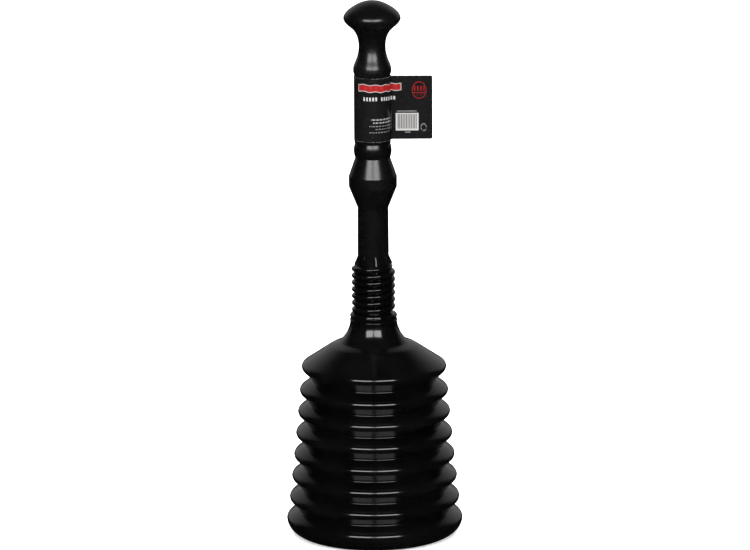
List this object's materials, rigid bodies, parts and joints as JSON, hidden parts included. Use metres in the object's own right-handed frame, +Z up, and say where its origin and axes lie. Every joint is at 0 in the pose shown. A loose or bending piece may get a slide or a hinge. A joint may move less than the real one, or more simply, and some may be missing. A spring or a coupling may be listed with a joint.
{
  "type": "sink plunger",
  "caption": "Bellows sink plunger: stepped accordion cup with a rolled mouth, threaded neck and a slim hollow handle with a round knob and a flag label.",
  "frame": {"origin": "centre of the mouth, on the surface that the plunger stands on", "axes": "+Z up along the handle to the knob, +X towards the label's flag, -Y towards the front of the label"},
  "size_m": [0.1536, 0.1536, 0.4724],
  "materials": {
    "bellows_plastic": "glossy black blow-moulded polyethylene",
    "handle_plastic": "satin black blow-moulded polyethylene",
    "label_film": null
  },
  "bodies": {
    "base": {"bellows_base": "bellows_plastic", "bellows_fold_1": "bellows_plastic"},
    "ring_1": {"bellows_ring_1": "bellows_plastic", "bellows_fold_2": "bellows_plastic"},
    "ring_2": {"bellows_ring_2": "bellows_plastic", "bellows_fold_3": "bellows_plastic"},
    "ring_3": {"bellows_ring_3": "bellows_plastic", "bellows_fold_4": "bellows_plastic"},
    "ring_4": {"bellows_ring_4": "bellows_plastic", "bellows_fold_5": "bellows_plastic"},
    "ring_5": {"bellows_ring_5": "bellows_plastic", "bellows_fold_6": "bellows_plastic"},
    "ring_6": {"bellows_ring_6": "bellows_plastic", "bellows_fold_7": "bellows_plastic"},
    "top": {"bellows_top": "bellows_plastic", "handle": "handle_plastic", "grip_label": "label_film"}
  },
  "joints": [
    {"name": "fold_1", "type": "slide", "parent": "base", "child": "ring_1", "axis": [0, 0, 1], "range_m": [-0.0065, 0.0025], "stiffness_N_per_m": 9000, "springref_m": 0.0003, "deforming": ["bellows_fold_1"]},
    {"name": "fold_2", "type": "slide", "parent": "ring_1", "child": "ring_2", "axis": [0, 0, 1], "range_m": [-0.0065, 0.0025], "stiffness_N_per_m": 9000, "springref_m": 0.0003, "deforming": ["bellows_fold_2"]},
    {"name": "fold_3", "type": "slide", "parent": "ring_2", "child": "ring_3", "axis": [0, 0, 1], "range_m": [-0.0065, 0.0025], "stiffness_N_per_m": 9000, "springref_m": 0.0003, "deforming": ["bellows_fold_3"]},
    {"name": "fold_4", "type": "slide", "parent": "ring_3", "child": "ring_4", "axis": [0, 0, 1], "range_m": [-0.0065, 0.0025], "stiffness_N_per_m": 9000, "springref_m": 0.0003, "deforming": ["bellows_fold_4"]},
    {"name": "fold_5", "type": "slide", "parent": "ring_4", "child": "ring_5", "axis": [0, 0, 1], "range_m": [-0.0065, 0.0025], "stiffness_N_per_m": 9000, "springref_m": 0.0003, "deforming": ["bellows_fold_5"]},
    {"name": "fold_6", "type": "slide", "parent": "ring_5", "child": "ring_6", "axis": [0, 0, 1], "range_m": [-0.0065, 0.0025], "stiffness_N_per_m": 9000, "springref_m": 0.0003, "deforming": ["bellows_fold_6"]},
    {"name": "fold_7", "type": "slide", "parent": "ring_6", "child": "top", "axis": [0, 0, 1], "range_m": [-0.0065, 0.0025], "stiffness_N_per_m": 9000, "springref_m": 0.0003, "deforming": ["bellows_fold_7"]}
  ],
  "couplings": [
    {"joint": "fold_2", "follows": "fold_1", "ratio": 1},
    {"joint": "fold_3", "follows": "fold_1", "ratio": 1},
    {"joint": "fold_4", "follows": "fold_1", "ratio": 1},
    {"joint": "fold_5", "follows": "fold_1", "ratio": 1},
    {"joint": "fold_6", "follows": "fold_1", "ratio": 1},
    {"joint": "fold_7", "follows": "fold_1", "ratio": 1}
  ]
}
